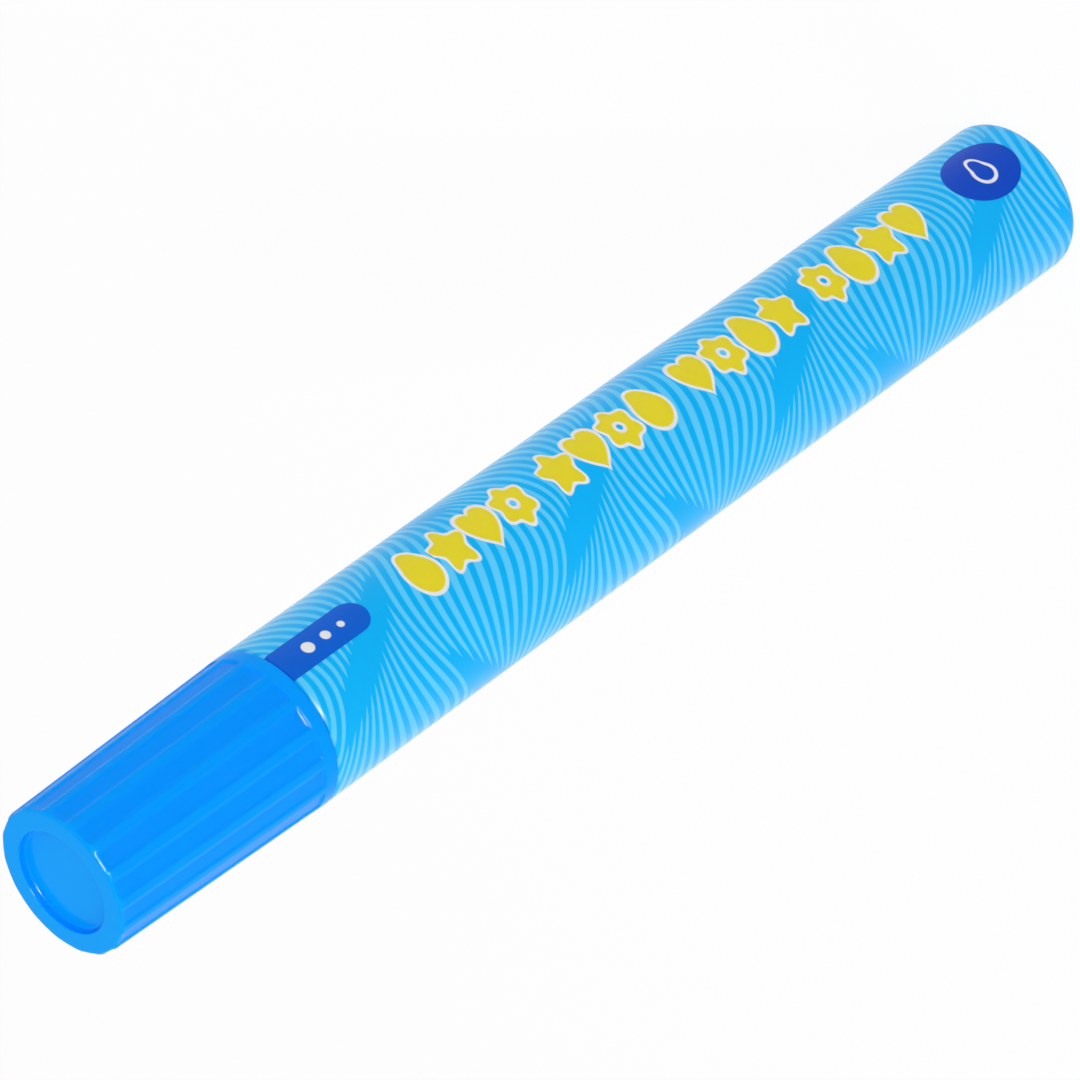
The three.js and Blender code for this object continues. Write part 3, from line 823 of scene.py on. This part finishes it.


# The cap's blue is painted with shading, kept in a point attribute: lighter on the flat end and up the rim's
# rounding, which face the light, darker on the side, and darker again on the panels and on the dish's wall,
# where shade falls.
cap = turned("cap_shell_part", cap_profile(), steps=PANELS * COLUMNS, doublings=4)
shading_paint = cap.data.attributes.new("shading_paint", "FLOAT", "POINT")
for vertex in cap.data.vertices:
    radius, z = math.hypot(vertex.co.x, vertex.co.y) / MM, vertex.co.z / MM
    turn = math.degrees(math.atan2(vertex.co.x, -vertex.co.y)) % 360
    rib, step = divmod(round(turn / 360 * PANELS * COLUMNS), COLUMNS)
    full = cap_radius(z)
    over_rim = max(0.0, min(1.0, (z - CAP_END + RIM_RADIUS) / RIM_RADIUS)) ** 2
    tone = painted_shading_at(radius, z, over_rim)
    if radius > full - RIM_RADIUS - SLACK and z > PANEL_START - START_SLOPE:
        from_middle = math.radians((column_place(step) - 0.5) * 360 / PANELS)
        half_width = full * math.pi / PANELS - HALF_RIB
        floor = (math.sqrt(full ** 2 - half_width ** 2) - PANEL_DEPTH) / math.cos(from_middle)
        share = panel_share(full * math.sin(from_middle), z, half_width) * (1.0 - over_rim)
        radius -= (full - floor) * share
        # Painted shade: a panel's floor is darkened in the colour as far as it is drawn in.
        tone -= PANEL_SHADE * share
    shading_paint.data[vertex.index].value = tone
    placed = math.radians((rib + column_place(step)) * 360 / PANELS + PANEL_TURN)
    vertex.co.x, vertex.co.y = radius * MM * math.sin(placed), -radius * MM * math.cos(placed)
cap.data.update()


def blue_with_painted_shading(tree):
    """The cap's blue with painted shading: darker on its panels and in its dish's wall, where shade falls,
    than on its flat end, which faces the light.
    """
    tones = tree.nodes.new("ShaderNodeAttribute")
    tones.attribute_name = "shading_paint"
    return ramp(tree, tones.outputs["Fac"], (0.0, linear(0, 146, 253)), (0.5, linear(0, 145, 254)),
                (1.0, linear(0, 162, 254)))


cap_plastic = plastic("glossy blue cap plastic", blue_with_painted_shading, 0.17, bump=0.03, tone=0.03,
                      IOR=1.12, Specular_Tint=(0.8, 0.8, 1.0, 1.0))
dress(cap, cap_plastic, "cap", "cap_shell")

# The tube stands on a plain white table in soft studio light. The camera is far off and
# turned on its side, so that the tube lies across the picture.
TABLE_HALF, TABLE_DROP, TABLE_WHITE, TABLE_GLOW = 4.0, 0.0001, 0.86, 0.94
table_top = bmesh.new()
bmesh.ops.create_grid(table_top, x_segments=1, y_segments=1, size=TABLE_HALF,
                      matrix=Matrix.Translation((0, 0, -TABLE_DROP)))
table = finished("table_top", table_top)


def seen(tree):
    """1 for what the camera sees directly, in a reflection or through glass, and 0 for stray light."""
    rays = tree.nodes.new("ShaderNodeLightPath").outputs
    mirrored = Number(tree, rays["Is Camera Ray"]).then("MAXIMUM", rays["Is Glossy Ray"])
    return mirrored.then("MAXIMUM", rays["Is Transmission Ray"])


def mixed(tree, share, first, second):
    """A mix of two shaders, with a share of the second."""
    node = tree.nodes.new("ShaderNodeMixShader")
    for value, socket in zip((share, first.outputs[0], second.outputs[0]), node.inputs):
        feed(tree, value, socket)
    return node


table_white, table_tree, first_shader = new_material("white table")
table_tree.nodes.remove(first_shader)
matt, glow = table_tree.nodes.new("ShaderNodeBsdfDiffuse"), table_tree.nodes.new("ShaderNodeEmission")
matt.inputs["Color"].default_value = (TABLE_WHITE, TABLE_WHITE, TABLE_WHITE, 1)
glow.inputs["Strength"].default_value = 1.0
lit = mixed(table_tree, seen(table_tree) * TABLE_GLOW, matt, glow)
underside = Number(table_tree, table_tree.nodes.new("ShaderNodeNewGeometry").outputs["Backfacing"])
camera_ray = table_tree.nodes.new("ShaderNodeLightPath").outputs["Is Camera Ray"]
clear_from_below = mixed(table_tree, underside * camera_ray, lit,
                         table_tree.nodes.new("ShaderNodeBsdfTransparent"))
table_tree.links.new(clear_from_below.outputs[0], table_tree.nodes["Material Output"].inputs["Surface"])
table.data.materials.append(table_white)

STRAY_LIGHT = 0.55
world = bpy.context.scene.world or bpy.data.worlds.new("studio")
bpy.context.scene.world = world
world.use_nodes = True
world.node_tree.nodes.clear()
sky = world.node_tree.nodes.new("ShaderNodeBackground")
sky.inputs["Color"].default_value = (1, 1, 1, 1)
feed(world.node_tree, seen(world.node_tree) * (1.0 - STRAY_LIGHT) + STRAY_LIGHT, sky.inputs["Strength"])
world.node_tree.links.new(sky.outputs[0],
                          world.node_tree.nodes.new("ShaderNodeOutputWorld").inputs["Surface"])


def softbox(name, place, aim, width, height, power, only_gloss=False):
    """A soft, plain white studio lamp that the camera doesn't see, perhaps only for highlights."""
    lamp = bpy.data.lights.new(name, "AREA")
    lamp.shape, lamp.size, lamp.size_y, lamp.energy = "RECTANGLE", width, height, power
    holder = bpy.data.objects.new(name, lamp)
    holder.location = place
    holder.rotation_euler = (Vector(aim) - Vector(place)).to_track_quat("-Z", "Y").to_euler()
    holder.visible_camera = False
    holder.visible_diffuse = not only_gloss
    bpy.context.scene.collection.objects.link(holder)


softbox("key lamp", place=(-0.25, -0.64, 0.95), aim=(0, 0, 0.12), width=0.09, height=0.09, power=3.4)
softbox("strip lamp", place=(-0.24, -0.88, 0.68), aim=(0, 0, 0.6), width=0.3, height=1.2, power=190.0,
        only_gloss=True)
softbox("left lamp", place=(-0.75, -0.1, 0.35), aim=(0, 0, 0.1), width=0.5, height=0.8, power=2.2)
softbox("right lamp", place=(0.7, -0.35, 0.45), aim=(0, 0, 0.1), width=0.5, height=0.8, power=1.6)

# The photograph's view: the angle between the camera's line and the tube's axis, the camera's roll,
# its focal length in pixels, and the place of the middle of the cap's end in the picture
VIEW_ANGLE, ROLL = math.radians(54.88), math.radians(35.90)
IMAGE_SIZE, LENS_PIXELS, SENSOR_WIDTH = 1080, 6431, 36.0
CAP_END_PIXEL, CAP_END_DISTANCE = (61.2, 882.9), 811.3 * MM
camera_data = bpy.data.cameras.new("camera")
camera_data.sensor_width = SENSOR_WIDTH
camera_data.lens = LENS_PIXELS / IMAGE_SIZE * SENSOR_WIDTH
camera_data.clip_start, camera_data.clip_end = 0.01, 20.0
camera = bpy.data.objects.new("camera", camera_data)
bpy.context.scene.collection.objects.link(camera)
back = Vector((0, -math.sin(VIEW_ANGLE), math.cos(VIEW_ANGLE)))
sideways, upward = Vector((1, 0, 0)), Vector((0, math.cos(VIEW_ANGLE), math.sin(VIEW_ANGLE)))
right = sideways * -math.sin(ROLL) + upward * -math.cos(ROLL)
up = back.cross(right)
middle = IMAGE_SIZE / 2
offset = Vector((CAP_END_PIXEL[0] - middle, middle - CAP_END_PIXEL[1])) * CAP_END_DISTANCE / LENS_PIXELS
camera_place = Vector((0, 0, CAP_END * MM)) - right * offset.x - up * offset.y + back * CAP_END_DISTANCE
camera.matrix_world = Matrix.Translation(camera_place) @ Matrix((right, up, back)).transposed().to_4x4()
bpy.context.scene.camera = camera
bpy.context.scene.view_settings.view_transform = "Standard"
